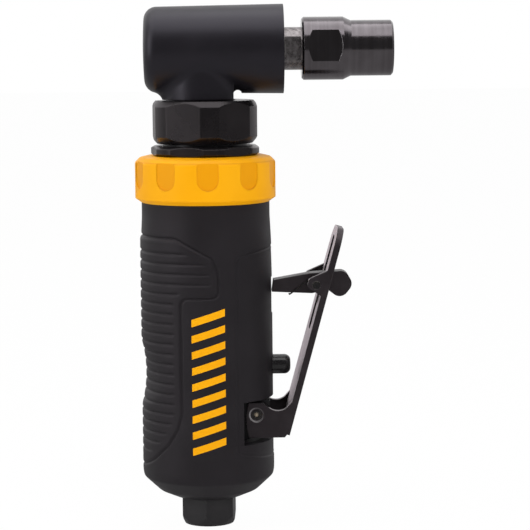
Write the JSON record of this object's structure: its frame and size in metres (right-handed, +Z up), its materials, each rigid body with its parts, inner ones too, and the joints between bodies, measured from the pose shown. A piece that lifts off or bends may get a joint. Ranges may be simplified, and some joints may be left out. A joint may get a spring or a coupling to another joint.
{
  "type": "right angle die grinder",
  "caption": "Pneumatic right angle die grinder: ribbed rubber grip, amber collar, throttle lever with safety lock, angle head with bevel drive and a collet that turns.",
  "frame": {"origin": "centre of the air inlet's mouth, at the foot of the tool", "axes": "+Z up the motor axis to the angle head, +X along the spindle to the collet and to the lever's side, +Y completes the frame"},
  "size_m": [0.0809, 0.044, 0.1637],
  "materials": {
    "grip_rubber": "matte",
    "collar_plastic": "satin",
    "head_coat": "satin",
    "black_steel": "black oxide",
    "dark_nickel": "polished",
    "steel": "ground",
    "housing_alloy": "anodised",
    "motor_iron": "machined",
    "seal_rubber": "matte",
    "composite": "matte",
    "brass": "machined",
    "felt": "felt"
  },
  "bodies": {
    "housing": {"motor_housing": "housing_alloy", "grip_sleeve": "grip_rubber", "collar_ring": "collar_plastic", "jam_nut": "black_steel", "clamp_nut": "black_steel", "angle_head": "head_coat", "nose_piece": "housing_alloy", "bearing_cap": "black_steel", "spindle_seal": "seal_rubber", "pinion_retaining_ring": "steel", "inlet_bushing": "black_steel", "inlet_screen": "steel", "inlet_o_ring": "seal_rubber", "exhaust_muffler": "felt", "rear_end_plate": "motor_iron", "motor_cylinder": "motor_iron", "front_end_plate": "motor_iron", "cylinder_dowel": "steel", "preload_washer": "steel", "valve_guide": "brass", "valve_seat": "composite", "valve_spring": "steel", "stem_o_ring": "seal_rubber", "lever_pin": "steel", "rear_bearing_outer_ring": "steel", "rear_bearing_balls": "steel", "front_bearing_outer_ring": "steel", "front_bearing_balls": "steel", "lower_pinion_bearing_outer_ring": "steel", "lower_pinion_bearing_balls": "steel", "upper_pinion_bearing_outer_ring": "steel", "upper_pinion_bearing_balls": "steel", "rear_spindle_bearing_outer_ring": "steel", "rear_spindle_bearing_balls": "steel", "front_spindle_bearing_outer_ring": "steel", "front_spindle_bearing_balls": "steel"},
    "rotor": {"rotor": "steel", "rotor_vanes": "composite", "bevel_pinion": "steel", "pinion_spacer": "steel", "rear_bearing_inner_ring": "steel", "front_bearing_inner_ring": "steel", "lower_pinion_bearing_inner_ring": "steel", "upper_pinion_bearing_inner_ring": "steel"},
    "spindle": {"spindle": "steel", "bevel_gear": "steel", "gear_key": "steel", "gear_spacer": "steel", "rear_spindle_bearing_inner_ring": "steel", "front_spindle_bearing_inner_ring": "steel"},
    "collet": {"collet": "steel"},
    "collet_nut": {"collet_nut": "dark_nickel"},
    "lever": {"throttle_lever": "black_steel", "lock_pin": "steel"},
    "lock": {"lock_lever": "black_steel", "lock_spring": "steel"},
    "valve": {"valve_stem": "black_steel", "valve_poppet": "seal_rubber"}
  },
  "joints": [
    {"name": "rotor_spin", "type": "hinge", "parent": "housing", "child": "rotor", "pos_m": [0, 0, 0.08], "axis": [0, 0, 1], "continuous": true},
    {"name": "spindle_spin", "type": "hinge", "parent": "housing", "child": "spindle", "pos_m": [0, 0, 0.1498], "axis": [1, 0, 0], "continuous": true},
    {"name": "collet_slide", "type": "slide", "parent": "spindle", "child": "collet", "axis": [1, 0, 0], "range_m": [0, 0.001]},
    {"name": "nut_turn", "type": "hinge", "parent": "collet", "child": "collet_nut", "pos_m": [0, 0, 0.1498], "axis": [1, 0, 0], "range_deg": [0, 360]},
    {"name": "lever_press", "type": "hinge", "parent": "housing", "child": "lever", "pos_m": [0.0151, 0, 0.0361], "axis": [0, -1, 0], "range_deg": [0, 11.5], "stiffness_Nm_per_rad": 2, "springref_deg": -8.59},
    {"name": "lock_fold", "type": "hinge", "parent": "lever", "child": "lock", "pos_m": [0.0341, 0, 0.0767], "axis": [0, -1, 0], "range_deg": [0, 80.5], "deforming": ["lock_spring"]},
    {"name": "valve_push", "type": "slide", "parent": "housing", "child": "valve", "axis": [-1, 0, 0], "range_m": [0, 0.001], "deforming": ["valve_spring"]}
  ],
  "couplings": [
    {"joint": "spindle_spin", "follows": "rotor_spin", "ratio": 0.75},
    {"joint": "lock_fold", "follows": "lever_press", "ratio": 7},
    {"joint": "valve_push", "follows": "lever_press", "m_per_rad": 0.004982},
    {"joint": "collet_slide", "follows": "nut_turn", "m_per_rad": 0.00015915}
  ]
}
